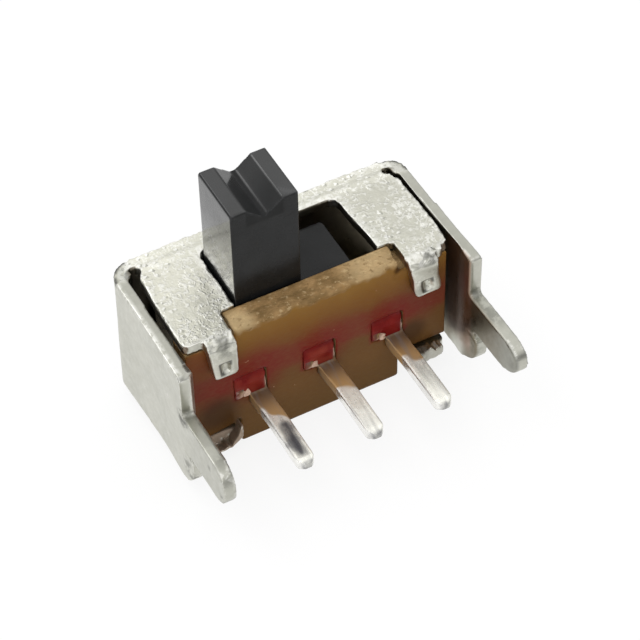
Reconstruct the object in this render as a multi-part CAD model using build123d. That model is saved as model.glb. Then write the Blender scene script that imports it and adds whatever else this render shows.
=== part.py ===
from build123d import *
import os

os.makedirs("parts", exist_ok=True)

# Right-angle slide switch, one changeover pole. Sizes in millimetres.
# X runs along the slide, the pins point to -Y and the knob points to +Z.
# Y is zero halfway between the back wall and the tips of the legs, Z is zero at the board's lowest edge.
pin_pitch = 2.0
sheet = 0.3
frame_length = 8.46
can_height = 4.1
can_depth = 3.45
can_lift = 0.35
overrun = 1.0

# Frame: channel of top, back and bottom plate
plate_gap = 0.15
plate_bend = 0.5
relief_length = 0.26
relief_depth = 0.8
ear_radius = 0.2
slot_gap = 0.05
slot_back_gap = 0.26
slot_radius = 0.26
dimple_depth = 0.09

# Frame: end flanges with their legs
flange_bend = 0.6
splay_share = 0.02
flange_inset = 0.05
flange_reach = 0.83
flange_radius = 0.14
leg_reach = 3.15
leg_width = 1.3
leg_tip_radius = 0.6
leg_root_radius = 0.12
heel_reach = 1.26
heel_radius_share = 0.675
heel_tip_share = 0.16
heel_slit = 0.09

# Frame: tabs folded over the board, and lips curled up under it
tab_gap = 0.04
tab_width_share = 0.455
tab_drop = 1.4
tab_bend = 0.4
tab_radius = 0.16
tab_clearance = 0.03
stake_width = 0.34
stake_height = 0.5
stake_depth = 0.12
stake_low = 0.16
stake_taper = 40
lip_gap = 0.1
lip_width_share = 0.6
lip_height = 0.78
lip_bend = 0.45
lip_radius = 0.3
lip_clearance = 0.1

# Terminal board
board_gap = 0.17
board_thickness = 0.7
board_fit = 0.03
tongue_share = 0.221
tongue_inset = 0.05
lower_tongue_share = 0.198
board_notch = 0.95
board_radius = 0.08

# Terminals: strip with an inner contact plate, a crank through the board and a pin
strip = 0.35
strip_width = 0.92
strip_bend = 0.12
contact_plate_width = 1.3
contact_plate_gap = 0.12
crank_flat = 0.05
crank_inset = 0.2
pin_height_share = 0.3
pin_width = 0.5
pin_reach = 2.7
pin_edge = 0.06
pin_tip = 0.16
pin_tip_taper = 26
nib_width = 0.22
nib_height = 0.24
nib_gap = 0.04
nib_proud = 0.07

# Sealant over each crank
seal_cover = 0.125
seal_proud = 0.09
seal_edge = 0.07

# Slider: knob above, shoulder under the top plate, carriage inside the can
travel = pin_pitch
slide_clearance = 0.06
knob_width = 1.88
knob_depth_share = 0.516
knob_height = 3.05
knob_edge = 0.06
groove_depth = 0.42
groove_peak = 0.42
groove_radius = 0.16
board_clearance = 0.07
shoulder_end_gap = 0.48
shoulder_height_share = 0.183
carriage_end_gap = 0.65
carriage_edge = 0.1
carriage_front_gap = 0.12
carriage_back_gap = 0.2

# Moving contact in the front of the carriage
contact_strip = 0.12
contact_height_share = 0.98
contact_run_share = 0.323
contact_end_share = 0.385
contact_hump_share = 0.81
contact_top_share = 0.333
contact_bend_share = 0.476
contact_clearance = 0.04
pocket_clearance = 0.05

# Detent ball and spring in the back of the carriage
ball_share = 0.1835
ball_clearance = 0.02
bore_clearance = 0.03
web_share = 0.1376
spring_wire_share = 0.3
spring_radius_share = 0.675
spring_pitch_share = 2.0
spring_gap = 0.03

# Levels and places that follow from the sizes above
bottom_z = can_lift
top_z = bottom_z + can_height
inner_top_z = top_z - sheet
inner_bottom_z = bottom_z + sheet
middle_z = (top_z + bottom_z) / 2
inner_back_y = can_depth - sheet
middle_y = (leg_reach - can_depth) / 2
flange_x = frame_length / 2
inner_x = flange_x - sheet
plate_half = inner_x - plate_gap
board_half = inner_x - board_gap
knob_depth = knob_depth_share * can_depth
knob_front_y = board_thickness + board_clearance
knob_back_y = knob_front_y + knob_depth
slot_half = (knob_width + travel) / 2 + slot_gap
slot_back_y = knob_back_y + slot_back_gap
side_land = plate_half - slot_half
tongue_half = slot_half + tongue_share * side_land
lower_tongue_half = slot_half + lower_tongue_share * side_land
tab_x = tongue_half + tab_gap
tab_width = tab_width_share * side_land
lip_x = lower_tongue_half + lip_gap
lip_width = lip_width_share * side_land
terminal_places = {"left": -pin_pitch, "middle": 0, "right": pin_pitch}
rest_x = -travel / 2
pin_height = bottom_z + pin_height_share * can_height
pin_top_z = pin_height + strip / 2
pin_root_y = strip_bend + strip
neck_height = pin_height + 2 * strip_bend + strip + crank_flat
seal_top = neck_height + strip / 2 + seal_cover

# Levels of the slider, and of what it carries
shoulder_top_z = inner_top_z - slide_clearance
shoulder_z = shoulder_top_z - shoulder_height_share * can_height
carriage_z = inner_bottom_z + slide_clearance
shoulder_half = inner_x - travel / 2 - shoulder_end_gap
carriage_half = inner_x - travel / 2 - carriage_end_gap
contact_plate_top = shoulder_z - contact_plate_gap
contact_plate_low = neck_height + strip / 2 + strip_bend
contact_middle_z = (contact_plate_top + contact_plate_low) / 2
contact_height = contact_height_share * (contact_plate_top - contact_plate_low)
contact_side = carriage_half - travel / 2
contact_run = contact_run_share * contact_side
contact_hump = contact_hump_share * contact_run
contact_half = travel / 2 + contact_run + contact_end_share * contact_side
contact_face_y = board_thickness + strip
contact_back_y = contact_face_y + contact_clearance + contact_hump + contact_strip
carriage_front_y = contact_face_y + carriage_front_gap
carriage_back_y = inner_back_y - carriage_back_gap
room = inner_back_y - contact_face_y
detent_height = (carriage_z + shoulder_z) / 2
ball_radius = ball_share * room
ball_y = inner_back_y - ball_clearance - ball_radius
spring_wire = spring_wire_share * ball_radius
spring_radius = spring_radius_share * ball_radius
spring_seat_y = contact_back_y + web_share * room


def block(x0, x1, y0, y1, z0, z1):
    box = Box(x1 - x0, y1 - y0, z1 - z0)
    return Pos((x0 + x1) / 2, (y0 + y1) / 2, (z0 + z1) / 2) * box


def outline(points):
    return Sketch() + make_face(Polyline(*points, close=True))


def rounded(sketch, corners, radius):
    picked = [sketch.vertices().sort_by_distance(corner)[0] for corner in corners]
    return fillet(picked, radius)


def bent_strip(points, outer_bend, thickness):
    path = FilletPolyline(*points, radius=outer_bend - thickness / 2)
    return trace(path, line_width=thickness)


def along_x(profile, x0, x1):
    return extrude(Plane.YZ.offset(x0) * profile, amount=x1 - x0, dir=(1, 0, 0))


def along_y(profile, y0, y1):
    return extrude(Plane.XZ.offset(-y0) * profile, amount=y1 - y0, dir=(0, 1, 0))


def along_z(profile, z0, z1):
    return extrude(Plane.XY.offset(z0) * profile, amount=z1 - z0, dir=(0, 0, 1))


def both_ends(solid):
    return solid + mirror(solid, about=Plane.YZ)


# The top, back and bottom plates are one strip bent twice, with slanting corner reliefs beside the bends.
def make_channel():
    half_sheet = sheet / 2
    section = bent_strip(
        [
            (0, top_z - half_sheet),
            (can_depth - half_sheet, top_z - half_sheet),
            (can_depth - half_sheet, bottom_z + half_sheet),
            (0, bottom_z + half_sheet),
        ],
        plate_bend,
        sheet,
    )
    channel = along_x(section, -plate_half, plate_half)
    relief = outline(
        [
            (plate_half - relief_length, can_depth + overrun),
            (plate_half - relief_length, can_depth - sheet),
            (plate_half, can_depth - relief_depth),
            (plate_half + overrun, can_depth - relief_depth),
            (plate_half + overrun, can_depth + overrun),
        ]
    )
    return channel - both_ends(along_z(relief, 0, top_z + overrun))


# The slot for the knob is open to the front, and widens there to seat the upper tongue of the board.
def cut_plates(channel):
    slot = outline(
        [
            (-slot_half, slot_back_y),
            (slot_half, slot_back_y),
            (slot_half, board_thickness),
            (tab_x, board_thickness),
            (tab_x, -overrun),
            (-tab_x, -overrun),
            (-tab_x, board_thickness),
            (-slot_half, board_thickness),
        ]
    )
    slot = rounded(slot, [(-slot_half, slot_back_y), (slot_half, slot_back_y)], slot_radius)
    channel -= along_z(slot, middle_z, top_z + overrun)
    seat = outline(
        [
            (-lip_x, board_thickness),
            (lip_x, board_thickness),
            (lip_x, -overrun),
            (-lip_x, -overrun),
        ]
    )
    channel -= along_z(seat, 0, middle_z)
    front_corners = [e for e in channel.edges().filter_by(Axis.Z) if is_outer_front(e.center())]
    return fillet(front_corners, ear_radius)


def is_outer_front(place):
    return place.Y < sheet / 2 and abs(place.X) > plate_half - sheet / 2


# The end flanges splay a little. Each has a long leg and a short heel for the circuit board.
def make_flanges():
    half_sheet = sheet / 2
    bottom = bottom_z + flange_inset
    top = top_z - flange_inset
    leg_low = middle_z - leg_width / 2
    leg_high = middle_z + leg_width / 2
    heel_top = leg_low - heel_slit
    heel_height = heel_top - bottom
    end_y = -leg_reach - overrun
    end_x = flange_x - half_sheet + splay_share * (can_depth - half_sheet - end_y)
    walls = bent_strip(
        [
            (-end_x, end_y),
            (-flange_x + half_sheet, can_depth - half_sheet),
            (flange_x - half_sheet, can_depth - half_sheet),
            (end_x, end_y),
        ],
        flange_bend,
        sheet,
    )
    side = outline(
        [
            (can_depth + overrun, bottom),
            (-heel_reach, bottom),
            (-heel_reach, heel_top),
            (-flange_reach, heel_top),
            (-flange_reach, leg_low),
            (-leg_reach, leg_low),
            (-leg_reach, leg_high),
            (-flange_reach, leg_high),
            (-flange_reach, top),
            (can_depth + overrun, top),
        ]
    )
    side = rounded(side, [(-leg_reach, leg_low), (-leg_reach, leg_high)], leg_tip_radius)
    side = rounded(side, [(-heel_reach, bottom)], heel_radius_share * heel_height)
    side = rounded(side, [(-heel_reach, heel_top)], heel_tip_share * heel_height)
    side = rounded(side, [(-flange_reach, top)], flange_radius)
    side = rounded(side, [(-flange_reach, leg_high)], leg_root_radius)
    return along_z(walls, bottom, top) & along_x(side, -flange_x - overrun, flange_x + overrun)


# Each upper tab folds down over the front of the board and is staked there.
def make_tab():
    half_sheet = sheet / 2
    bottom = top_z - tab_drop
    section = bent_strip(
        [
            (board_thickness, top_z - half_sheet),
            (-tab_clearance - half_sheet, top_z - half_sheet),
            (-tab_clearance - half_sheet, bottom),
        ],
        tab_bend,
        sheet,
    )
    tab = along_x(section, tab_x, tab_x + tab_width)
    low_edges = tab.edges().filter_by(Axis.Y).group_by(Axis.Z)[0]
    tab = fillet(low_edges, tab_radius)
    stake_middle = bottom + stake_low + stake_height / 2
    stake_place = (tab_x + tab_width / 2, -tab_clearance - sheet, stake_middle)
    stake_plane = Plane(origin=stake_place, x_dir=(1, 0, 0), z_dir=(0, 1, 0))
    stake_face = stake_plane * Rectangle(stake_width, stake_height)
    stake = extrude(stake_face, amount=stake_depth, taper=stake_taper)
    return tab - stake


# Each lower lip passes under a corner notch of the board and curls up in front of it.
def make_lip():
    half_sheet = sheet / 2
    section = bent_strip(
        [
            (board_thickness + sheet, bottom_z + half_sheet),
            (-lip_clearance - half_sheet, bottom_z + half_sheet),
            (-lip_clearance - half_sheet, bottom_z + lip_height),
        ],
        lip_bend,
        sheet,
    )
    lip = along_x(section, lip_x, lip_x + lip_width)
    high_edges = lip.edges().filter_by(Axis.Y).group_by(Axis.Z)[-1]
    return fillet(high_edges.sort_by(Axis.X)[-1], lip_radius)


# Two coined dimples in the back wall hold the ball at the ends of the travel.
def make_dimples():
    centre_y = inner_back_y + dimple_depth - ball_radius
    return both_ends(Pos(travel / 2, centre_y, detent_height) * Sphere(ball_radius))


def make_frame():
    frame = cut_plates(make_channel()) + make_flanges()
    frame += both_ends(make_tab())
    frame += both_ends(make_lip())
    return frame - make_dimples()


# Punched laminate board: two tongues, notched lower corners and a slot for each terminal.
def make_board():
    corner_top = inner_top_z - board_fit
    tongue_top = top_z - tongue_inset
    upper = [(-tongue_half, tongue_top), (tongue_half, tongue_top)]
    lower = [(lower_tongue_half, 0), (-lower_tongue_half, 0)]
    face = outline(
        [
            (-board_half, corner_top),
            (-tongue_half, corner_top),
            *upper,
            (tongue_half, corner_top),
            (board_half, corner_top),
            (board_half, board_notch),
            (lower_tongue_half, board_notch),
            *lower,
            (-lower_tongue_half, board_notch),
            (-board_half, board_notch),
        ]
    )
    face = rounded(face, upper + lower, board_radius)
    for place in terminal_places.values():
        face -= Pos(place, (pin_top_z + seal_top) / 2) * Rectangle(strip_width, seal_top - pin_top_z)
        face -= Pos(pin_x(place), pin_height) * Rectangle(pin_width, strip)
    return along_y(face, 0, board_thickness)


# Side view of a terminal strip: contact plate, neck, crank and pin.
def terminal_section():
    plate_y = board_thickness + strip / 2
    crank_y = crank_inset
    return bent_strip(
        [
            (plate_y, contact_plate_top),
            (plate_y, neck_height),
            (crank_y, neck_height),
            (crank_y, pin_height),
            (-pin_root_y, pin_height),
        ],
        strip_bend + strip,
        strip,
    )


def pin_x(place):
    return place + (strip_width - pin_width) / 2


# The pin has rounded edges and a short tapered tip.
def make_pin(place):
    section = RectangleRounded(pin_width, strip, pin_edge)
    shaft = along_y(Pos(pin_x(place), pin_height) * section, pin_tip - pin_reach, -pin_root_y)
    tip_place = (pin_x(place), pin_tip - pin_reach, pin_height)
    tip_plane = Plane(origin=tip_place, x_dir=(1, 0, 0), z_dir=(0, -1, 0))
    return shaft + extrude(tip_plane * section, amount=pin_tip, taper=pin_tip_taper)


def make_terminal(place):
    left = place - strip_width / 2
    right = place + strip_width / 2
    strip_solid = along_x(terminal_section(), left, right)
    strip_solid -= block(left - overrun, right - pin_width, -pin_reach, board_thickness, 0, pin_top_z)
    nib_low = pin_top_z + nib_gap
    nib = block(
        left + nib_gap, left + nib_gap + nib_width, nib_front(), crank_inset, nib_low, nib_low + nib_height
    )
    half_plate = contact_plate_width / 2
    plate = block(
        place - half_plate,
        place + half_plate,
        board_thickness,
        contact_face_y,
        contact_plate_low,
        contact_plate_top,
    )
    return strip_solid + make_pin(place) + nib + plate


def seal_front():
    return crank_inset - strip / 2 - seal_proud


def nib_front():
    return seal_front() - nib_proud


# Sealant fills the slot above the neck and covers the front of the crank down to the pin.
def make_seal(place, terminal):
    half = strip_width / 2
    seal = block(place - half, place + half, seal_front(), board_thickness, pin_top_z, seal_top)
    seal = fillet(seal.faces().sort_by(Axis.Y)[0].edges(), seal_edge)
    behind = block(place - half, place + half, crank_inset, board_thickness, pin_top_z, neck_height)
    return largest(seal - terminal - behind)


def largest(solid):
    return Part() + solid.solids().sort_by(SortBy.VOLUME)[-1]


# The knob's end view has a rounded groove between two flat lands.
def make_knob():
    half = knob_width / 2
    crown = top_z + knob_height
    land_x = half - groove_peak
    face = outline(
        [
            (-half, shoulder_z),
            (half, shoulder_z),
            (half, crown),
            (land_x, crown),
            (0, crown - groove_depth),
            (-land_x, crown),
            (-half, crown),
        ]
    )
    face = rounded(face, [(0, crown - groove_depth)], groove_radius)
    face = rounded(face, [(half, crown), (-half, crown), (land_x, crown), (-land_x, crown)], knob_edge)
    return along_y(face, knob_front_y, knob_back_y)


# Side view of the sliding block: a shoulder as deep as the knob over a carriage set further back.
def make_carriage():
    shoulder = outline(
        [
            (knob_front_y, shoulder_z),
            (knob_back_y, shoulder_z),
            (knob_back_y, shoulder_top_z),
            (knob_front_y, shoulder_top_z),
        ]
    )
    lower = outline(
        [
            (carriage_front_y, carriage_z),
            (carriage_back_y, carriage_z),
            (carriage_back_y, shoulder_z),
            (carriage_front_y, shoulder_z),
        ]
    )
    lower = rounded(lower, [(carriage_front_y, carriage_z), (carriage_back_y, carriage_z)], carriage_edge)
    lower = rounded(lower, [(carriage_back_y, shoulder_z)], carriage_edge)
    shoulder_solid = along_x(shoulder, -shoulder_half, shoulder_half)
    shoulder_solid = fillet(shoulder_solid.edges().filter_by(Axis.Z), carriage_edge)
    return shoulder_solid + along_x(lower, -carriage_half, carriage_half)


# A pocket in the front of the carriage seats the moving contact, a bore in its back takes ball and spring.
def make_slider():
    slider = make_knob() + make_carriage()
    pocket_half = contact_half + pocket_clearance
    pocket_height = contact_height / 2 + pocket_clearance
    slider -= block(
        -pocket_half,
        pocket_half,
        carriage_front_y - overrun,
        contact_back_y,
        contact_middle_z - pocket_height,
        contact_middle_z + pocket_height,
    )
    bore = Cylinder(ball_radius + bore_clearance, carriage_back_y - spring_seat_y + overrun)
    bore_middle = (carriage_back_y + spring_seat_y + overrun) / 2
    slider -= Pos(0, bore_middle, detent_height) * Rot(90, 0, 0) * bore
    return Pos(rest_x, 0, 0) * slider


# Bronze strip with two humps, one for each of the terminals that it bridges.
def make_contact():
    base_y = contact_back_y - contact_strip / 2
    hump_y = base_y - contact_hump
    hump = travel / 2
    hump_top = contact_top_share * contact_run
    right = [
        (hump - contact_run, base_y),
        (hump - hump_top, hump_y),
        (hump + hump_top, hump_y),
        (hump + contact_run, base_y),
        (contact_half, base_y),
    ]
    left = [(-x, y) for x, y in reversed(right)]
    bend = contact_bend_share * contact_run + contact_strip / 2
    section = bent_strip(left + right, bend, contact_strip)
    low = contact_middle_z - contact_height / 2
    contact = along_z(section, low, low + contact_height)
    return Pos(rest_x, 0, 0) * contact


def make_ball():
    return Pos(rest_x, ball_y, detent_height) * Sphere(ball_radius)


# The spring stands on the web behind the contact and bears on the ball.
def make_spring():
    start = spring_seat_y + spring_wire / 2 + spring_gap
    reach = (ball_radius**2 - spring_radius**2) ** 0.5
    end = ball_y - reach - spring_wire / 2 - spring_gap
    pitch = spring_pitch_share * spring_wire
    path = Helix(pitch=pitch, height=end - start, radius=spring_radius)
    wire = sweep(Plane(origin=path @ 0, z_dir=path % 0) * Circle(spring_wire / 2), path=path, is_frenet=True)
    return Pos(rest_x, start, detent_height) * Rot(-90, 0, 0) * wire


nodes = {"frame": make_frame(), "terminal_board": make_board()}
for side, place in terminal_places.items():
    terminal = make_terminal(place)
    nodes["terminal_" + side] = terminal
    nodes["seal_" + side] = make_seal(place, terminal)
nodes["slider"] = make_slider()
nodes["moving_contact"] = make_contact()
nodes["detent_ball"] = make_ball()
nodes["detent_spring"] = make_spring()

for name, solid in nodes.items():
    placed = Pos(0, middle_y, 0) * solid
    placed.label = name
    export_step(placed, "parts/" + name + ".step")
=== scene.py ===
import math
from types import SimpleNamespace

import bmesh
import bpy
import numpy as np
from mathutils import Matrix, Vector, noise


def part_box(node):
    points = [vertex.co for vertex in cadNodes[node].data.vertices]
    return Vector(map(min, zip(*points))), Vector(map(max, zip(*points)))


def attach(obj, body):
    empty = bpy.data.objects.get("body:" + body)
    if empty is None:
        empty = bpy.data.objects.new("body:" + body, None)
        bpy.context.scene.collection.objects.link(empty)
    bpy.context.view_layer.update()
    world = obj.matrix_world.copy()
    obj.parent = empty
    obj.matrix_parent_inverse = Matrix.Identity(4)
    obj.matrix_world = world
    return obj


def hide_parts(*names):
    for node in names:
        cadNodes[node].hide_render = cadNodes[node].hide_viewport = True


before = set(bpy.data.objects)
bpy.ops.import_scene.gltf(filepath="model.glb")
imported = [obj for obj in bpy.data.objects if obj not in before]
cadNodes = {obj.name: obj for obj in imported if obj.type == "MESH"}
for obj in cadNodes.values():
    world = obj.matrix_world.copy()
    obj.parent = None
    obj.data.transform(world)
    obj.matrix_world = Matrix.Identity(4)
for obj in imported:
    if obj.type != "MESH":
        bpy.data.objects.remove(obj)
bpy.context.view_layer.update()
scene = bpy.context.scene
mm = 0.001
weldGap = 0.001
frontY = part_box("terminal_board")[0].y / mm  # front face of the board, the datum for Y below
print("frame loaded:", len(cadNodes), "nodes")


# mesh tools; places are in mm, with Y measured from the board's front face
def copyNode(nodeName, pieceName):  # own copy of a CAD mesh, welded along its seams
    piece = bpy.data.objects.new(pieceName, cadNodes[nodeName].data.copy())
    scene.collection.objects.link(piece)
    piece.data.materials.clear()
    work = bmesh.new()
    work.from_mesh(piece.data)
    bmesh.ops.remove_doubles(work, verts=work.verts, dist=weldGap * mm)
    work.to_mesh(piece.data)
    work.free()
    return piece


def bake(piece):  # apply the modifiers
    whole = piece.evaluated_get(bpy.context.evaluated_depsgraph_get())
    old = piece.data
    piece.data = bpy.data.meshes.new_from_object(whole)
    piece.modifiers.clear()
    bpy.data.meshes.remove(old)


def skin(piece, voxel):  # even quads, fine enough to soften and dent
    tool = piece.modifiers.new("skin", "REMESH")
    tool.mode = "VOXEL"
    tool.voxel_size = voxel * mm
    tool.use_smooth_shade = True
    bake(piece)


def getSpots(piece):
    spots = np.empty(len(piece.data.vertices) * 3)
    piece.data.vertices.foreach_get("co", spots)
    return spots.reshape(-1, 3) / mm - (0, frontY, 0)


def setSpots(piece, spots):
    piece.data.vertices.foreach_set("co", ((spots + (0, frontY, 0)) * mm).ravel())
    piece.data.update()


def getNormals(piece):
    normals = np.empty(len(piece.data.vertices) * 3)
    piece.data.vertex_normals.foreach_get("vector", normals)
    return normals.reshape(-1, 3)


def soften(piece, rounds, pull=0.5, push=-0.52):  # round the edges without shrinking the faces
    spots = getSpots(piece)
    ends = np.empty(len(piece.data.edges) * 2, int)
    piece.data.edges.foreach_get("vertices", ends)
    a, b = ends.reshape(-1, 2).T
    count = np.bincount(ends, minlength=len(spots))
    for step in range(rounds * 2):
        total = np.stack([
            np.bincount(a, spots[b, axis], len(spots)) + np.bincount(b, spots[a, axis], len(spots))
            for axis in range(3)], axis=1)
        spots += (push if step % 2 else pull) * (total / count[:, None] - spots)
    setSpots(piece, spots)


def startPiece(nodeName, pieceName, look):
    piece = copyNode(nodeName, pieceName)
    skin(piece, look["voxel"])
    soften(piece, look["rounds"])
    return piece


def waves(spots, scale, seed):  # smooth noise from -1 to 1 at each spot
    stretched = spots * np.array(scale) + seed
    return np.array([noise.noise(Vector(spot)) for spot in stretched])


def ramp01(values, low, high):  # smooth step from 0 at low to 1 at high, which may lie below low
    share = np.clip((values - low) / (high - low), 0, 1)
    return share * share * (3 - 2 * share)


def most(*masks):
    return np.maximum.reduce(masks)


def within(values, low, high, soft):  # 1 between two levels, fading over soft outside them
    return ramp01(values, low - soft, low) * ramp01(values, high + soft, high)


markCore = 0.3  # share of a mark's radius that has its full strength


def spotMask(spots, marks):  # sum of soft round marks: place, radius, strength
    total = np.zeros(len(spots))
    for place, radius, strength in marks:
        total += strength * ramp01(np.linalg.norm(spots - place, axis=1), radius, radius * markCore)
    return np.clip(total, 0, 1)


def survey(piece, look):  # places and facings before the piece is shaped
    spots, normals = getSpots(piece), getNormals(piece)
    at = SimpleNamespace(piece=piece, spots=spots, normals=normals, areas=look["areas"])
    at.x, at.y, at.z = spots.T.copy()
    at.side, at.apart = np.sign(at.x), np.abs(at.x)
    at.leftward, at.front, at.down = -normals.T
    at.facing, at.up = at.leftward * at.side, normals[:, 2]  # facing: towards the middle
    return at


def area(at, name):  # product of ramps (from, to) and bands (from, to, softness) along named directions
    total = 1.0
    for direction, *span in at.areas[name]:
        total = total * (within if len(span) == 3 else ramp01)(getattr(at, direction), *span)
    return total


def addMasks(piece, masks):
    for name, values in masks.items():
        layer = piece.data.attributes.new(name, "FLOAT", "POINT")
        layer.data.foreach_set("value", np.asarray(np.clip(values, 0, 1), np.float32))


def settle(piece, body, material, nodeName):
    low, high = (np.array(corner) / mm - (0, frontY, 0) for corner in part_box(nodeName))
    setSpots(piece, np.clip(getSpots(piece), low, high))  # no further out than the CAD piece
    piece.data.materials.clear()
    piece.data.materials.append(material)
    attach(piece, body)
    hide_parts(nodeName)
    print(" ", piece.name, len(piece.data.polygons), "faces")


# material tools; they work on the node tree being built
work = SimpleNamespace(tree=None)


def put(kind, sockets=None, **settings):
    node = work.tree.nodes.new("ShaderNode" + kind)
    for name, value in settings.items():
        setattr(node, name, value)
    for name, value in (sockets or {}).items():
        if isinstance(value, bpy.types.NodeSocket):
            work.tree.links.new(value, node.inputs[name])
        else:
            node.inputs[name].default_value = value
    return node


def calc(operation, a, b):
    return put("Math", {0: a, 1: b}, operation=operation).outputs[0]


def times(a, b):
    return calc("MULTIPLY", a, b)


def blend(share, a, b):
    return put("Mix", {0: share, 6: a, 7: b}, data_type="RGBA").outputs[2]


def tint(mask, amount, base, colourTo):  # lay a colour over the base where the mask is
    return blend(times(mask, amount), base, colourTo)


def fade(value, low, high, toLow=0.0, toHigh=1.0):  # smooth step between two levels
    levels = {0: value, 1: low, 2: high, 3: toLow, 4: toHigh}
    return put("MapRange", levels, interpolation_type="SMOOTHSTEP").outputs[0]


def cloudy(spot, scale, detail, seed=None, **sockets):  # 4-D noise where it has a seed
    sockets.update({"Vector": spot, "Scale": scale, "Detail": detail})
    if seed is None:
        return put("TexNoise", sockets).outputs["Fac"]
    return put("TexNoise", {**sockets, "W": seed}, noise_dimensions="4D").outputs["Fac"]


def steps(value, stops):  # colour ramp
    node = put("ValToRGB", {0: value})
    elements = node.color_ramp.elements
    for index, (place, shade) in enumerate(stops):
        stop = elements[index] if index < 2 else elements.new(place)
        stop.position = place
        stop.color = shade
    return node.outputs[0]


def colour(red, green, blue):
    return (red, green, blue, 1.0)


def mask(name):
    return put("Attribute", attribute_name=name).outputs["Fac"]


def makeGroup(name, inputs, outputs):
    group = work.tree = bpy.data.node_groups.new(name, "ShaderNodeTree")
    for label, kind, value in inputs:
        socket = group.interface.new_socket(label, in_out="INPUT", socket_type=kind)
        socket.default_value = value
    for label in outputs:
        group.interface.new_socket(label, in_out="OUTPUT", socket_type="NodeSocketFloat")
    return group, group.nodes.new("NodeGroupInput").outputs, group.nodes.new("NodeGroupOutput").inputs


def placeMm():
    spot = put("TexCoord").outputs["Object"]
    shift = {"Vector": spot, "Scale": (1 / mm, 1 / mm, 1 / mm), "Location": (0, -frontY, 0)}
    return put("Mapping", shift).outputs[0]


def stretched(stretch):
    return put("VectorMath", {0: placeMm(), 1: stretch}, operation="MULTIPLY").outputs[0]


number, vector = "NodeSocketFloat", "NodeSocketVector"
# blotches: soft-edged patches of noise, for stains, smudges and worn spots
blotches, have, give = makeGroup(
    "blotches", [("Scale", number, 1.0), ("Stretch", vector, (1, 1, 1)), ("Seed", number, 0.0),
                 ("Level", number, 0.5), ("Softness", number, 0.1)], ["Mask", "Value"])
cloud = cloudy(stretched(have["Stretch"]), have["Scale"], detail=5.0, seed=have["Seed"],
               Roughness=0.6)
low = calc("SUBTRACT", have["Level"], have["Softness"])
high = calc("ADD", have["Level"], have["Softness"])
blotches.links.new(fade(cloud, low, high), give["Mask"])
blotches.links.new(cloud, give["Value"])

# squiggles: thin winding lines in clusters, painted as highlights along the plating's crinkles and also
# raising their bump
squiggles, have, give = makeGroup(
    "squiggles", [("Scale", number, 5.0), ("Seed", number, 0.0), ("Width", number, 0.05),
                  ("Cover", number, 0.5)], ["Mask"])
spot = placeMm()
cloud = cloudy(spot, have["Scale"], detail=2.5, seed=have["Seed"], Distortion=0.6)
offset = calc("SUBTRACT", cloud, 0.5)  # from the middle of the noise
offset = put("Math", {0: offset}, operation="ABSOLUTE").outputs[0]
line = fade(offset, have["Width"], 0.0)
patch = cloudy(spot, scale=2.2, detail=3.0, seed=have["Seed"])
cluster = fade(calc("ADD", patch, have["Cover"]), low=0.9, high=1.15)
gapScale = times(have["Scale"], 1.3)  # a little finer than the lines
gaps = fade(cloudy(spot, gapScale, detail=1.0), low=0.4, high=0.52)
line = times(line, gaps)
squiggles.links.new(times(line, cluster), give["Mask"])

# painted glints: small bright dots in clusters, each with a dot of painted shade beside it
glints, have, give = makeGroup(
    "glints", [("Scale", number, 4.0), ("Seed", number, 0.0), ("Size", number, 0.3),
               ("Cover", number, 0.5)], ["Mask", "ShadeDot"])
spot = placeMm()
patch = cloudy(spot, scale=1.3, detail=3.0, seed=have["Seed"])
cluster = fade(patch, low=0.42, high=0.56)
shake = put("TexNoise", {"Vector": spot, "Scale": 9.0}).outputs["Color"]
shake = put("VectorMath", {0: shake, 1: (0.12, 0.12, 0.12)}, operation="MULTIPLY").outputs[0]
spot = put("VectorMath", {0: spot, 1: shake}, operation="ADD").outputs[0]
core = times(have["Size"], 0.75)  # full inside this share of the dot
for label, aside in {"Mask": (0, 0, 0), "ShadeDot": (-0.05, 0.04, 0)}.items():
    moved = put("VectorMath", {0: spot, 1: aside}, operation="ADD").outputs[0]
    cells = put("TexVoronoi", {"Vector": moved, "Scale": have["Scale"]}).outputs
    dot = fade(cells["Distance"], have["Size"], core)
    chosen = calc("LESS_THAN", cells["Color"], have["Cover"])
    dot = times(times(dot, chosen), cluster)
    glints.links.new(dot, give[label])

# painted edge highlights and hollow shade: how sharply the surface turns outwards (lit edges) or inwards
# (shaded hollows), broken up by noise
edgeSheenAndShade, have, give = makeGroup(
    "edgeSheenAndShade", [("Start", number, 0.52), ("Full", number, 0.6), ("Breakup", number, 0.5),
                 ("Scale", number, 4.0)], ["Mask", "HollowShade"])
turn = put("NewGeometry").outputs["Pointiness"]
worn = fade(turn, have["Start"], have["Full"])
cloud = cloudy(placeMm(), have["Scale"], detail=4.0)
broken = fade(cloud, low=0.38, high=0.6)
kept = put("Mix", {0: have["Breakup"], 2: 1.0, 3: broken}).outputs[0]
edgeSheenAndShade.links.new(times(worn, kept), give["Mask"])
edgeSheenAndShade.links.new(fade(turn, low=0.49, high=0.44), give["HollowShade"])

# grain: fine two-scale unevenness for bump and roughness
grain, have, give = makeGroup(
    "grain", [("Scale", number, 10.0), ("Stretch", vector, (1, 1, 1)), ("Fine", number, 0.4)], ["Height"])
spot = stretched(have["Stretch"])
coarse = cloudy(spot, have["Scale"], detail=3.0)
fine = cloudy(spot, times(have["Scale"], 3.7), detail=2.0)  # at a finer scale
grain.links.new(put("Mix", {0: have["Fine"], 2: coarse, 3: fine}).outputs[0], give["Height"])
print("node groups: blotches, squiggles, flecks, edgeSheenAndShade, grain")


def useGroup(group, values):
    node = work.tree.nodes.new("ShaderNodeGroup")
    node.node_tree = group
    for name, value in values.items():
        node.inputs[name].default_value = value
    return node.outputs


patchSpan = (0.3, 0.7)  # usual range of the noise


def patchy(value, levels):  # a level that varies with a noise
    return fade(value, *patchSpan, *levels)


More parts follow.
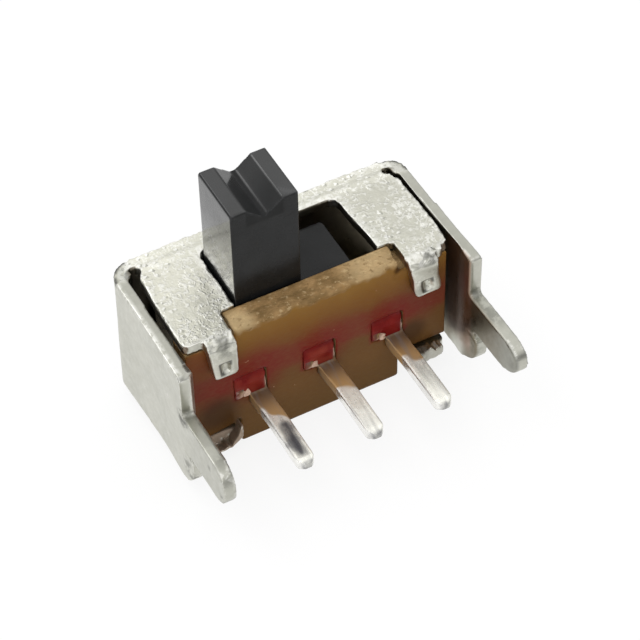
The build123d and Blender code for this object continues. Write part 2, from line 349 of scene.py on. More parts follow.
def paint(base, look, masks, layers="layers"):  # lay the look's colours over the base in turn
    for name, (amount, shade) in look[layers].items():
        where = masks[name] if name in masks else mask(name)
        base = tint(where, amount, base, look[shade])
    return base


def startMaterial(name, look):  # with its shader and the look's patterns
    material = bpy.data.materials.new(name)
    material.use_nodes = True
    work.tree = material.node_tree
    use = {name: useGroup(*pattern) for name, pattern in look["patterns"].items()}
    return material, work.tree.nodes["Principled BSDF"], use


def feed(shader, sources):
    for name, source in sources.items():
        if isinstance(source, bpy.types.NodeSocket):
            work.tree.links.new(source, shader.inputs[name])
        else:
            shader.inputs[name].default_value = source


def bump(height, depth, base=None):  # depth in mm
    sockets = {"Height": height, "Distance": depth * mm, "Strength": 1.0}
    if base is not None:
        sockets["Normal"] = base
    return put("Bump", sockets).outputs[0]


# frame: folded tinned steel, stamped and handled, with painted highlights, reflections and shade
sheetMetal = dict(
    voxel=0.044, rounds=2, dent=0.01, dentMean=0.5, bulge=0.8, burr=0.007, plateBurr=0.05,
    plateEnd=3.83, plateMid=4.0, plateUnder=3.9, slotHalf=1.99, slotBack=2.85, slotSkew=0.09,
    flangeIn=3.87, flangeFront=-0.75, canHalf=4.1, canBack=3.25, wallFront=2.8, floorTop=1.0,
    leftLean=0.04, flare=0.05, flareLow=0.07, rise=0.05, topLean=0.035, thicken=0.06,
    closing=((0.1, 0.6, 1.2, 2.4), (0.0, 0.07, 0.07, 0.04)), drawIn=((0.6, 1.8, 2.5), (0.0, 0.05, 0.12)),
    slit=(0.03, 0.08), bendX=3.63, bendY=2.85, bendFill=0.07, bendStart=2.9, backHalf=3.7,
    legs=[dict(level=(1.75, 3.05), taper=0.2, root=(-0.9, -1.3), tip=0.08, end=(-2.2, -3.2)),
          dict(level=(0.4, 1.66), taper=0.14, root=(-0.4, -0.8), tip=0.1, end=(-1.7, -2.7))],
    legMargin=0.05, legLow=2.4,
    tabLeft=2.43, tabWidth=0.81, tabShift=0.2, tabLean=0.24, tabTaper=0.12, tabLift=0.1,
    tabWaist=0.09, web=0.14, stake=(2.833, 3.46), stakeHalf=(0.17, 0.25), stakeFront=-0.15,
    # share of its height left at each lip's outer and inner end; stained and stain place a painted dark
    # reflection of the board on the lip
    lips={-1: dict(outer=0.2, inner=0.95, span=(2.95, 2.35), stained=(0.6, 0.3), stain=0.95),
          1: dict(outer=0.85, inner=0.75, span=(3.5, 2.6), stained=(0.08, -0.12), stain=0.1)},
    lipTop=1.4, lipLow=0.35, lipLeast=0.12, jag=0.5, notch=0.15,
    areas=dict(
        left=[("x", -3.4, -3.8)], right=[("x", 3.7, 3.85)],
        inner=[("facing", 0.3, 0.8), ("apart", 3.7, 3.85)],
        leanOut=[("y", -0.6, -3.1)], flareLow=[("z", 4.2, 0.8)], flare=[("y", 0.5, 3.2)],
        rise=[("y", -0.5, 0.5), ("z", 1.4, 0.35)], drawIn=[("x", -3.0, -3.7), ("y", 3.1, 2.95)],
        slitFront=[("y", 1.6, -0.3)], topLean=[("y", -0.7, 0.8), ("z", 2.4, 3.6), ("y", 3.2, 2.9)],
        relief=[("y", 2.75, 3.0), ("z", 3.4, 3.6)], thick=[("y", -0.1, -0.7)],
        hanging=[("y", 0.12, -0.04), ("z", 2.6, 2.8)], tabs=[("apart", 2.4, 3.2, 0.2)],
        rightTab=[("x", 2.2, 2.4), ("x", 3.8, 3.2)], leftTab=[("x", -3.3, -2.4, 0.1)],
        down=[("z", 4.35, 3.05)], waist=[("z", 3.3, 3.9), ("y", 0.05, -0.1)],
        web=[("x", 3.3, 3.4, 0.1), ("x", 3.75, 3.35), ("z", 4.0, 4.1), ("y", -0.05, 0.05, 0.15)],
        tabEnds=[("z", 3.6, 3.05)], closing=[("x", 3.0, 3.7), ("y", 2.9, 2.6)],
        slotRight=[("x", 1.7, 2.6, 0.3), ("y", -0.1, 0.1), ("y", 2.4, 1.0)], lipFront=[("y", 0.08, -0.12)],
        plate=[("z", 4.05, 4.25)], top=[("up", 0.3, 0.7), ("z", 4.31, 4.4)],
        stakeTop=[("z", 3.46, 3.61)], upper=[("z", 4.2, 4.3)], flat=[("up", 0.4, 0.7)],
        outerRim=[("apart", 3.62, 3.74)], innerRim=[("apart", 2.29, 2.04)],
        backRim=[("y", 2.85, 2.95, 0.08)], frontRim=[("y", 0.14, 0.04), ("y", -0.3, -0.1)],
        ridge=[("x", -4.13, -4.19), ("up", 0.1, 0.4)],
        turned=[("up", 0.25, 0.45), ("leftward", 0.25, 0.45)],
        ceiling=[("down", 0.3, 0.7), ("y", 0.1, 0.4)], floor=[("up", 0.3, 0.7), ("y", 0.1, 0.4)],
        wall=[("front", 0.3, 0.7)], sides=[("facing", 0.8, 0.98), ("y", -0.1, 0.2)],
        legInside=[("y", -0.4, -0.8), ("y", -2.9, -1.6)], shaded=[("x", 0.5, 3.0)],
        boardReflection=[("facing", 0.6, 0.95), ("y", -0.85, 0.2, 0.2), ("z", 0.6, 1.4)],
        sheared=[("up", 0.5, 0.8), ("apart", 3.86, 3.9)], legTop=[("y", -1.9, -0.8, 0.3)],
        innerDull=[("y", -0.5, -0.9)], leftDull=[("y", -0.9, -1.6)], rightDull=[("y", -0.6, -0.9)],
        lipDull=[("front", 0.2, 0.6)], bentBack=[("up", -0.1, 0.4), ("y", 2.7, 2.9), ("z", 3.8, 4.0)]),
    lip=(2.3, 3.6, 0.05), stakeBand=(0.8, 1.05, 0.15), stakeSide=(0.0, 0.1), patch=(0.3, 0.48, 0.05),
    edge=(0.985, 0.82), outline=(0.51, 0.56), broken=(-0.25, 0.0),
    noise=dict(  # scale, seed
        jag=((4.5, 0.5, 0.5), 21.0), notches=((10, 0.5, 0.5), 33.0), burr=(8, 13.0), pits=(2.4, 5.0),
        bulges=(0.8, 9.0), outline=(5, 41.0), stains=(7, 51.0)),
    shares=dict(shaded=0.55, stain=0.75, stainSwing=0.5, sheared=0.4, leftLeg=0.2, legTop=0.5,
                rightLeg=0.25, lipDull=0.65, plain=0.08, tabs=0.25, lip=0.3, touched=0.06),
    corners=[((-4.15, 3.1, 4.4), 0.5, 1.0), ((3.8, 3.25, 4.4), 0.4, 1.0), ((4.2, 3.0, 4.4), 0.25, 0.8),
             ((-4.2, -0.75, 4.4), 0.12, 0.8), ((4.25, -3.05, 2.6), 0.4, 0.8),
             ((-4.1, -3.0, 2.0), 0.3, 0.6)],
    stains=[((-2.8, -0.15, 4.27), 0.3, 0.9), ((3.15, -0.12, 4.28), 0.26, 0.6),
            ((3.6, 0.0, 4.3), 0.25, 0.6)],
    marks=[
        ((-4.3, -0.85, 2.95), 0.4, 0.9), ((-4.3, -1.0, 1.15), 0.45, 0.6), ((-4.3, -1.25, 0.8), 0.3, 0.7),
        ((-4.25, -2.95, 2.15), 0.16, 1.0), ((-4.25, -2.3, 2.6), 0.15, 0.6), ((-4.1, -2.6, 2.95), 0.3, 0.4),
        ((-2.75, -0.2, 4.1), 0.34, 0.55), ((-2.7, -0.33, 3.3), 0.3, 0.2), ((3.2, -0.1, 4.3), 0.3, 0.8),
        ((2.8, -0.33, 3.4), 0.3, 0.4), ((4.1, -0.85, 3.05), 0.4, 0.7), ((4.2, -1.6, 3.05), 0.6, 0.5),
        ((4.1, -2.9, 2.5), 0.3, 0.7), ((2.75, -0.25, 0.9), 0.45, 0.9), ((4.0, -1.15, 1.3), 0.3, 0.4)],
    # tin and shade vary at random; the near-white colour paints highlights and glints
    tin=colour(0.57, 0.567, 0.5), shade=colour(0.52, 0.52, 0.455), highlight=colour(0.93, 0.925, 0.87),
    # the top plate's tin is a lighter copy of the walls' tin, painted light for the sky it faces, and its
    # right side takes painted shade
    topTin=colour(0.775, 0.765, 0.66), topShade=colour(0.68, 0.675, 0.58),
    # the mid grey paints dull sheared faces and painted shade on the legs, lip and beside glints; the dark
    # grey paints real smudges and painted shade in hollows, stake recesses and corners
    topRightShade=colour(0.53, 0.525, 0.455), dull=colour(0.3, 0.3, 0.26), smudge=colour(0.13, 0.13, 0.115),
    # the dark brown paints shade inside the can; the two reddish browns paint reflections of the board
    insideShade=colour(0.2, 0.17, 0.115), lipReflection=colour(0.34, 0.25, 0.185), boardReflection=colour(0.38, 0.25, 0.19),
    patterns=dict(
        tone=(blotches, dict(Scale=0.9, Seed=3.0, Softness=0.2)),
        lines=(squiggles, dict(Scale=6.0, Seed=2.0, Width=0.1, Cover=0.62)),
        ragged=(blotches, dict(Scale=7.0, Seed=6.0, Level=0.46, Softness=0.08)),
        dots=(glints, dict(Scale=5.0, Seed=1.0, Size=0.27, Cover=0.75)),
        marks=(blotches, dict(Scale=4.5, Seed=1.5, Level=0.47, Softness=0.08)),
        edgeSheen=(edgeSheenAndShade, dict(Start=0.512, Full=0.55, Breakup=0.7, Scale=6.0)),
        torn=(blotches, dict(Scale=5.0, Seed=7.0, Level=0.58, Softness=0.06)),
        crinkle=(grain, dict(Scale=4.5, Fine=0.35)),
        fine=(grain, dict(Scale=16.0, Stretch=(1, 1, 0.5), Fine=0.5)),
        patch=(blotches, dict(Scale=5.0, Seed=4.0))),
    layers=dict(  # how much of which colour
        lines=(0.75, "highlight"), pits=(0.55, "dull"), dots=(1.0, "highlight"), marks=(0.85, "smudge"),
        edgeSheen=(0.7, "highlight"), hollowShade=(0.7, "smudge"), dull=(0.9, "dull"), shadeAndStains=(0.95, "smudge"),
        insideShade=(0.85, "insideShade"), boardReflection=(0.85, "boardReflection"), torn=(0.9, "lipReflection")),
    crinkle=(0.8, 0.25), crinkleDepth=0.022, fineDepth=0.0012,
    rough=(0.27, 0.4), markRough=0.2, tornRough=0.25, metal=(1.0, 0.35),
)


def makeTinned():
    look = sheetMetal
    material, shader, use = startMaterial("tinned_sheet", look)
    top, bent = mask("crinkledAndLit"), mask("bend")  # flat walls get no painted edge highlights or hollow shade
    tone = use["tone"]["Mask"]
    # the crinkled top plate, and partly the tabs and right lip, take the lighter tin as painted light, with
    # painted shade on the plate's right
    base = blend(tone, look["tin"], look["shade"])
    plate = blend(tone, look["topTin"], look["topShade"])
    plate = tint(mask("shaded"), look["shares"]["shaded"], plate, look["topRightShade"])
    base = blend(top, base, plate)
    # painted highlights: lines along the crinkles and broken lines along the rims
    lines = times(use["lines"]["Mask"], top)
    lines = calc("MAXIMUM", lines, times(use["ragged"]["Mask"], mask("rimHighlight")))
    marks = times(use["marks"]["Mask"], mask("handled"))
    torn = times(mask("torn"), calc("SUBTRACT", 1.0, use["torn"]["Mask"]))
    base = paint(base, look, {
        "lines": lines, "marks": marks, "torn": torn,
        "pits": times(use["dots"]["ShadeDot"], top), "dots": times(use["dots"]["Mask"], top),
        "edgeSheen": times(use["edgeSheen"]["Mask"], bent), "hollowShade": times(use["edgeSheen"]["HollowShade"], bent)})
    waveShare, lineShare = look["crinkle"]
    crinkle = times(use["crinkle"]["Height"], waveShare)
    crinkle = calc("ADD", crinkle, times(lines, lineShare))
    normal = bump(use["fine"]["Height"], look["fineDepth"])
    normal = bump(times(crinkle, top), look["crinkleDepth"], normal)
    rough = patchy(use["patch"]["Value"], look["rough"])
    rough = calc("ADD", rough, times(marks, look["markRough"]))
    rough = calc("ADD", rough, times(torn, look["tornRough"]))
    metal = fade(mask("matt"), 0, 1, *look["metal"])
    feed(shader, {"Base Color": base, "Roughness": rough, "Metallic": metal, "Normal": normal})
    return material


def bendFlanges(at):
    look, spots, x, y, z = sheetMetal, at.spots, at.x, at.y, at.z
    # the left leg splays less than the right one, the left flange stands out at the back
    spots[:, 0] += look["leftLean"] * at.left * area(at, "leanOut")
    flare = look["flare"] + look["flareLow"] * area(at, "flareLow")
    spots[:, 0] -= flare * at.left * area(at, "flare")
    spots[:, 2] += look["rise"] * at.left * area(at, "rise")
    # both sides of the left slit stand a little to the right, the right flange leans in
    onSheet = (x > -look["flangeIn"]) * (z > look["plateMid"])
    spots[:, 0] += np.interp(y, *look["drawIn"]) * area(at, "drawIn") * onSheet
    wide, narrow = look["slit"]
    slit = wide + (narrow - wide) * area(at, "slitFront")
    spots[:, 0] += slit * at.inner * at.left * (y > look["flangeFront"])
    spots[:, 0] -= look["topLean"] * (x > look["flangeIn"]) * area(at, "topLean")
    # the bends fill part of the corner reliefs
    bend = look["bendFill"] * at.inner * area(at, "relief")
    spots[:, 0] -= at.side * bend
    spots[:, 1] -= bend
    # the right leg and heel are narrower underneath
    for leg in look["legs"]:
        low, high = leg["level"]
        below = np.clip((high - z) / (high - low), 0, 1) * (z > low - look["legMargin"]) * (z < high)
        away = leg["taper"] * ramp01(y, *leg["root"]) + leg["tip"] * ramp01(y, *leg["end"])
        spots[:, 2] += at.right * below * away
    # sheared legs and front edges stand thicker on the inside
    spots[:, 0] -= at.side * look["thicken"] * at.inner * area(at, "thick")


def skewPlate(at):
    look, spots, x, z = sheetMetal, at.spots, at.x, at.z
    hanging, down = area(at, "hanging"), area(at, "down")
    at.tabs = hanging * area(at, "tabs")
    # the right tab stands askew, has a waist at its bend and runs into the plate in a web
    tab = hanging * area(at, "rightTab")
    across = np.clip((x - look["tabLeft"]) / look["tabWidth"], 0, 1)
    spots[:, 0] += tab * (look["tabShift"] * across + look["tabLean"] * down * (1 - across))
    spots[:, 0] += tab * look["tabWaist"] * (1 - 2 * across) * area(at, "waist")
    spots[:, 1] -= look["web"] * area(at, "web")
    # the left tab tapers, and both end a little higher
    across = np.clip((x + look["tabLeft"] + look["tabWidth"]) / look["tabWidth"], 0, 1)
    spots[:, 0] += hanging * area(at, "leftTab") * look["tabTaper"] * down * (1 - across)
    spots[:, 2] += at.tabs * look["tabLift"] * area(at, "tabEnds")
    # the top plate nearly meets the right flange at the front
    plate = area(at, "closing") * (x < look["flangeIn"]) * (z > look["plateMid"])
    spots[:, 0] += plate * np.interp(at.y, *look["closing"])
    # the slot widens to the right at the front
    spots[:, 0] += look["slotSkew"] * area(at, "slotRight") * (z > look["plateUnder"])


def lipMask(at, end):  # end is -1 for the left lip and 1 for the right one
    return within(at.x * end, *sheetMetal["lip"]) * (at.z < sheetMetal["lipTop"])


def tearLips(at):
    look = sheetMetal
    at.torn = np.zeros(len(at.spots))
    jag, notches = (waves(at.spots, *look["noise"][name]) for name in ("jag", "notches"))
    for end, lip in look["lips"].items():
        share = lip["outer"] + (lip["inner"] - lip["outer"]) * ramp01(at.x * end, *lip["span"])
        keep = np.clip(share * (1 + look["jag"] * jag) + look["notch"] * notches, look["lipLeast"], 1.0)
        at.spots[:, 2] -= lipMask(at, end) * area(at, "lipFront") * (1 - keep) * (at.z - look["lipLow"])
        # the torn lips' fronts get a painted dark reflection of the board, strongest on the left lip
        at.torn = most(at.torn, lip["stain"] * lipMask(at, end) * ramp01(at.y, *lip["stained"]))


def roughenFrame(at):  # burrs along the cut edges, dents in the faces
    look, plate = sheetMetal, at.apart < sheetMetal["plateEnd"]
    at.edge = ramp01(np.abs(at.normals).max(axis=1), *look["edge"])
    burr = look["burr"] + (look["plateBurr"] - look["burr"]) * plate * area(at, "plate")
    at.spots += at.normals * (waves(at.spots, *look["noise"]["burr"]) * at.edge * burr)[:, None]
    at.onTop = area(at, "top") * plate
    pits, bulges = (waves(at.spots, *look["noise"][name]) for name in ("pits", "bulges"))
    dents = (look["dentMean"] + pits) * at.onTop + look["dentMean"] + look["bulge"] * bulges
    at.spots -= at.normals * (dents * look["dent"])[:, None]
    setSpots(at.piece, at.spots)


def maskFrame(at):  # where the material changes, and where light and shade are painted
    look, share, spots, y, z = sheetMetal, sheetMetal["shares"], at.spots, at.y, at.z
    upper, flat = area(at, "upper"), area(at, "flat")
    # painted shade in the stakes' recesses, along the bends' outlines and at the corners' edges, and
    # stained tabs
    (stakeX, stakeZ), (halfX, halfZ) = look["stake"], look["stakeHalf"]
    reach = most(np.abs(at.apart - stakeX) / halfX, np.abs(z - stakeZ) / halfZ)
    above = most(area(at, "stakeTop"), ramp01(at.side * (stakeX - at.apart), *look["stakeSide"]))
    stakeLine = within(reach, *look["stakeBand"]) * above
    stakeLine *= (y < look["stakeFront"]) * (z < look["plateUnder"])
    radius = np.hypot(at.apart - look["bendX"], y - look["bendY"])
    corner = (at.apart > look["bendX"]) * (y > look["bendY"]) * upper
    broken = ramp01(waves(spots, *look["noise"]["outline"]), *look["broken"])
    uneven = share["stain"] + share["stainSwing"] * waves(spots, *look["noise"]["stains"])
    shadeAndStains = [stakeLine, corner * ramp01(radius, *look["outline"]) * broken,
               spotMask(spots, look["stains"]) * uneven, at.edge * spotMask(spots, look["corners"])]
    # painted highlights along the rims of the plate, the left ridge, the bends and the right flange's inner
    # edge
    innerRim = area(at, "innerRim") * (y < look["slotBack"])
    backRim = area(at, "backRim") * (at.apart < look["slotHalf"])
    rimHighlight = most(area(at, "outerRim"), innerRim, backRim, area(at, "frontRim")) * at.onTop
    ridge = area(at, "ridge") * upper * (y < look["bendStart"])
    patch = corner * within(radius, *look["patch"]) * flat
    innerEdgeHighlight = at.right * area(at, "turned") * (y < look["bendStart"]) * (z > look["legLow"])
    # painted shade inside the can and on the right leg's inner face, and a painted reddish reflection of
    # the board beside it
    can = (at.apart < look["canHalf"]) * (y < look["canBack"])
    inCan = most(
        area(at, "ceiling") * (z > look["plateUnder"]), area(at, "floor") * (z < look["floorTop"]),
        area(at, "wall") * (y > look["wallFront"]), area(at, "sides"))
    legInside = at.inner * at.right * area(at, "legInside")
    # dull sheared faces, and painted shade on the legs and the right lip's front
    bareLip = lipMask(at, 1) * area(at, "lipFront")
    dull = [at.inner * at.right * area(at, "innerDull"),
            share["sheared"] * area(at, "sheared") * upper * (1 - ridge),
            share["leftLeg"] * at.left * area(at, "leftDull"),
            share["legTop"] * at.left * flat * area(at, "legTop"),
            share["rightLeg"] * at.right * area(at, "rightDull"),
            share["lipDull"] * bareLip * area(at, "lipDull")]
    bentBack = area(at, "bentBack")
    crinkledAndLit = most(at.onTop, bentBack) + share["plain"]
    addMasks(at.piece, {
        "shadeAndStains": most(*shadeAndStains), "rimHighlight": most(rimHighlight, ridge, patch, innerEdgeHighlight),
        "bend": most(at.edge, at.onTop), "shaded": at.onTop * area(at, "shaded"),
        "insideShade": most(can * inCan, legInside), "boardReflection": can * area(at, "boardReflection"), "torn": at.torn,
        "dull": most(*dull), "matt": most(bentBack * (at.apart < look["backHalf"]), innerEdgeHighlight),
        "crinkledAndLit": crinkledAndLit + share["tabs"] * at.tabs + share["lip"] * bareLip,
        "handled": spotMask(spots, look["marks"]) + share["touched"]})


def makeFrame():
    piece = startPiece("frame", "frame_sheet", sheetMetal)
    at = survey(piece, sheetMetal)
    at.left, at.right, at.inner = (area(at, name) for name in ("left", "right", "inner"))
    bendFlanges(at)
    skewPlate(at)
    tearLips(at)
    roughenFrame(at)
    maskFrame(at)
    settle(piece, "body", makeTinned(), "frame")


# board: punched phenolic paper, stained red along the sealed terminals
boardLaminate = dict(
    voxel=0.042, rounds=2, fibre=0.05, fibreShare=0.4, backSmooth=0.9, chip=0.09, bite=0.35,
    roll=0.1, ragged=0.6, height=4.5, wobble=0.7, uneven=(0.14, 0.06), stray=0.12,
    notchX=(-3.8, -2.5), notchFall=(0.36, 0.12), notchSoft=0.1,
    sealX=(-2.0, 0.0, 2.0), sealZ=2.2, sealHalf=(0.46, 0.42),
    spans=dict(edge=(0.8, 0.45), back=(0.4, 0.55), notch=(1.45, 0.95), lip=(4.2, 4.4), front=(0.3, 0.0),
               blurred=(4.14, 4.3), bleed=(0.12, 0.0), facing=(0.2, 0.5), chipped=(-0.1, 0.25)),
    noise=dict(fibre=((1.6, 6.0, 3.0), 2.0), rough=((3.1, 4.0, 3.1), 11.0), ragged=(2.0, 6.0),
               bites=(4, 4.0), dips=(1.3, 4.0), uneven=(2.0, 17.0), unevenFine=(6.0, 27.0),
               stray=(3.5, 23.0)),
    stops=[(0.0, colour(0.13, 0.064, 0.016)), (0.46, colour(0.14, 0.062, 0.018)),
           (0.52, colour(0.165, 0.036, 0.018)), (0.64, colour(0.16, 0.032, 0.016)),
           (0.72, colour(0.165, 0.062, 0.016)), (0.82, colour(0.195, 0.085, 0.017)),
           (0.95, colour(0.24, 0.12, 0.024))],
    cut=colour(0.36, 0.225, 0.1), cutDark=colour(0.17, 0.105, 0.042), dark=colour(0.03, 0.012, 0.006),
    pale=colour(0.56, 0.42, 0.23), red=colour(0.16, 0.01, 0.008), fleck=colour(0.5, 0.3, 0.19),
    resin=colour(0.165, 0.012, 0.01),
    # painted shadows at the board's lower corners and its upper left end; painted highlights on the
    # tongue's cut top
    shadowPatches=[((-2.95, 0, 1.45), 0.9, 0.95), ((2.75, 0, 1.55), 0.6, 0.8), ((-3.75, 0.35, 4.1), 0.5, 1.0)],
    glow=[((-2.15, 0.2, 4.4), 0.6, 0.9), ((1.7, 0.3, 4.4), 1.1, 0.7)],
    halo=[((-1.9, 0, 2.45), 1.3, 0.9), ((0.1, 0, 2.5), 1.2, 0.75), ((2.1, 0, 2.5), 1.0, 0.85),
          ((-3.15, 0, 2.25), 0.8, 0.6), ((3.05, 0, 2.3), 0.7, 0.45), ((-3.4, 0, 3.7), 0.8, 0.55)],
    chips=[((2.3, 0.1, 4.35), 0.4, 1.0), ((2.36, 0, 3.95), 0.25, 0.8), ((-2.36, 0.5, 4.4), 0.25, 0.7)],
    patterns=dict(
        wobble=(blotches, dict(Scale=1.1, Seed=2.0)),
        mottled=(blotches, dict(Scale=6.0, Stretch=(1, 1, 2), Seed=1.0)),
        fleck=(blotches, dict(Scale=3.6, Stretch=(0.7, 1, 1.3), Seed=12.0, Level=0.7, Softness=0.02)),
        strands=(blotches, dict(Scale=2.2, Stretch=(1, 1.7, 1.7), Seed=7.0, Softness=0.2)),
        speck=(blotches, dict(Scale=6.0, Stretch=(1, 1.3, 1.3), Seed=9.0, Level=0.6, Softness=0.05)),
        pits=(blotches, dict(Scale=6.0, Stretch=(1, 1.3, 1.3), Seed=15.0, Level=0.6, Softness=0.05)),
        fibres=(grain, dict(Scale=5.0, Stretch=(1, 2.5, 2), Fine=0.5))),
    mottled=(0.3, 0.75, 0.0, 0.2),
    layers=dict(halo=(0.8, "red"), bleed=(0.85, "resin"), mottled=(1.0, "cutDark"), shadowPatches=(0.7, "dark"),
                fleck=(0.85, "fleck")),
    cutLayers=dict(glow=(0.7, "pale"), speck=(0.55, "pale"), pits=(0.6, "cutDark")),
    chipLayers=dict(chipped=(0.85, "dark")),
    rough=(0.4, 0.75), relief=(0.15, 1.0), depth=0.05, gloss=0.06,
)


def makeLaminate():
    look = boardLaminate
    material, shader, use = startMaterial("phenolic_paper", look)
    height = put("SeparateXYZ", {0: placeMm()}).outputs["Z"]
    wobble = times(calc("SUBTRACT", use["wobble"]["Value"], 0.5), look["wobble"])
    level = calc("DIVIDE", calc("ADD", height, wobble), look["height"])
    mottled = fade(use["mottled"]["Value"], *look["mottled"])
    base = steps(level, look["stops"])
    base = paint(base, look, {"mottled": mottled, "fleck": use["fleck"]["Mask"]})
    cut = blend(use["strands"]["Mask"], look["cut"], look["cutDark"])
    cut = paint(cut, look, {name: use[name]["Mask"] for name in ("speck", "pits")}, "cutLayers")
    edge = mask("cutEdge")
    base = paint(blend(edge, base, cut), look, {}, "chipLayers")
    relief = times(use["fibres"]["Height"], fade(edge, 0, 1, *look["relief"]))
    feed(shader, {"Base Color": base, "Roughness": fade(edge, 0, 1, *look["rough"]),
                        "Normal": bump(relief, look["depth"]), "Specular IOR Level": look["gloss"]})
    return material


def makeBoard():
    look, spans, noises = boardLaminate, boardLaminate["spans"], boardLaminate["noise"]
    piece = startPiece("terminal_board", "board_laminate", look)
    spots, normals = getSpots(piece), getNormals(piece)
    x, y, z = spots.T  # these follow the moves
    edge = ramp01(np.abs(normals[:, 1]), *spans["edge"])
    fibre, rough = (0.5 + 0.5 * waves(spots, *noises[name]) for name in ("fibre", "rough"))
    worn = fibre * look["fibreShare"] + rough * (1 - look["fibreShare"])
    kept = 1 - look["backSmooth"] * ramp01(y, *spans["back"])
    spots -= normals * (edge * kept * worn * look["fibre"])[:, None]
    # the left corner is cut out less
    less = within(x, *look["notchX"], look["notchSoft"]) * np.interp(x, look["notchX"], look["notchFall"])
    z -= less * ramp01(z, *spans["notch"])
    # the punched front edge is rolled over and chipped
    lip, front = ramp01(z, *spans["lip"]), ramp01(y, *spans["front"])
    y += lip * lip * front * look["roll"] * (1 + look["ragged"] * waves(spots, *noises["ragged"]))
    chips = spotMask(spots, look["chips"])
    bites = (look["bite"] + np.maximum(0, waves(spots, *noises["bites"]))) * chips
    bites += np.maximum(0, waves(spots, *noises["dips"])) * lip * front
    spots -= normals * (bites * look["chip"])[:, None]
    setSpots(piece, spots)
    coarse, fine = look["uneven"]
    uneven = waves(spots, *noises["uneven"]) * coarse + waves(spots, *noises["unevenFine"]) * fine
    blurred = ramp01(z + uneven, *spans["blurred"]) * front
    (halfX, halfZ), bleed = look["sealHalf"], np.zeros(len(spots))
    stray = look["stray"] * waves(spots, *noises["stray"])
    for place in look["sealX"]:
        past = most(np.abs(x - place) - halfX, np.abs(z - look["sealZ"]) - halfZ)
        bleed = most(bleed, ramp01(past + stray, *spans["bleed"]))
    # the dark patches and the cut top's bright spots are painted shade and painted highlights; the red halo
    # is a real stain
    addMasks(piece, {
        "cutEdge": most(edge, blurred), "bleed": bleed * ramp01(-normals[:, 1], *spans["facing"]),
        "chipped": chips * ramp01(waves(spots, *noises["bites"]), *spans["chipped"]),
        **{name: spotMask(spots, look[name]) for name in ("shadowPatches", "glow", "halo")}})
    settle(piece, "body", makeLaminate(), "terminal_board")


# terminals: brass strips, tinned outside and stained near the board
terminalMetal = dict(
    voxel=0.03, rounds=2, tipLength=0.28, tipNarrow=0.75, pinLength=2.7, pinDrift=0.03,
    places=dict(left=-2.0, middle=0.0, right=2.0), pinShift=0.21, pinTop=1.755,
    skew=dict(left=1.5, middle=0.25, right=0.5), uneven=0.18,
    dark=dict(left=1.0, middle=0.15, right=0.1),
    nibSpan=(-0.43, -0.19), nibSoft=0.03, nibRough=0.07, nibShrink=0.3, nibHeight=0.28,
    nibShift=0.15, nibSeeds=(1.0, 31.0, 61.0), nibScale=6,
    spans=dict(drift=(-0.2, -1.0), nibDeep=(0.12, 0.05), strip=(-0.05, 0.05), stripUp=(1.805, 1.905),
               nibFront=(0.0, -0.03), smear=(-0.36, -0.42), smearFront=(-0.1, -0.05),
               tinned=(-1.06, -0.94), litFlank=(0.3, 0.7), bevelUp=(0.2, 0.4), tip=(-2.58, -2.68),
               streaky=(-0.3, 0.3), top=(0.5, 0.9), underSide=(0.2, 0.5), under=(1.485, 1.435),
               root=(-0.9, -0.1)),
    bands=dict(nibUp=(1.755, 2.085, 0.02), smearUp=(1.4, 2.4, 0.05), bevel=(0.3, 0.85, 0.1),
               line=(-0.1, 0.12, 0.08), lineAlong=(-2.35, -1.35, 0.2)),
    noise=dict(uneven=(3, 8.0), streaky=((9, 1.5, 9), 14.0)),
    shares=dict(strip=0.65, streaky=0.5, tipDark=0.35, under=0.6, touched=0.12, tipWorn=0.7,
                rootLitFlank=0.8),
    # the lighter left-face colours are painted reflections; the dark core colour is painted shade
    tin=colour(0.97, 0.96, 0.88), root=colour(0.42, 0.25, 0.1), rootDark=colour(0.15, 0.085, 0.04),
    rootLitFlank=colour(0.6, 0.38, 0.17), nib=colour(0.6, 0.42, 0.32), smudge=colour(0.2, 0.2, 0.21),
    litFlank=colour(1.0, 0.99, 0.95), smear=colour(0.16, 0.012, 0.01), core=colour(0.09, 0.09, 0.1),
    worn=[((-1.75, -2.0, 1.75), 0.45, 0.9), ((-1.7, -1.5, 1.75), 0.3, 0.6), ((2.25, -1.2, 1.75), 0.3, 0.4)],
    patterns=dict(
        marks=(blotches, dict(Scale=3.2, Stretch=(1, 0.5, 1), Seed=9.0, Level=0.48, Softness=0.1)),
        streaks=(blotches, dict(Scale=1.6, Stretch=(4, 0.5, 1), Seed=13.0, Level=0.55, Softness=0.1)),
        patch=(blotches, dict(Scale=4.0, Stretch=(1, 0.5, 1), Seed=4.0)),
        ripple=(grain, dict(Scale=5.0, Stretch=(1, 0.6, 1), Fine=0.3))),
    layers=dict(marks=(0.9, "smudge"), streaks=(0.35, "smudge"), dark=(0.95, "core"), nib=(1.0, "nib"),
                smear=(1.0, "smear")),
    rough=(0.2, 0.36), dullRough=0.22, metal=0.55, flankMetal=0.4, bevelMetal=(1.0, 0.2),
    dullMetal=(1.0, 0.55), gloss=0.25, rippleDepth=0.006,
)


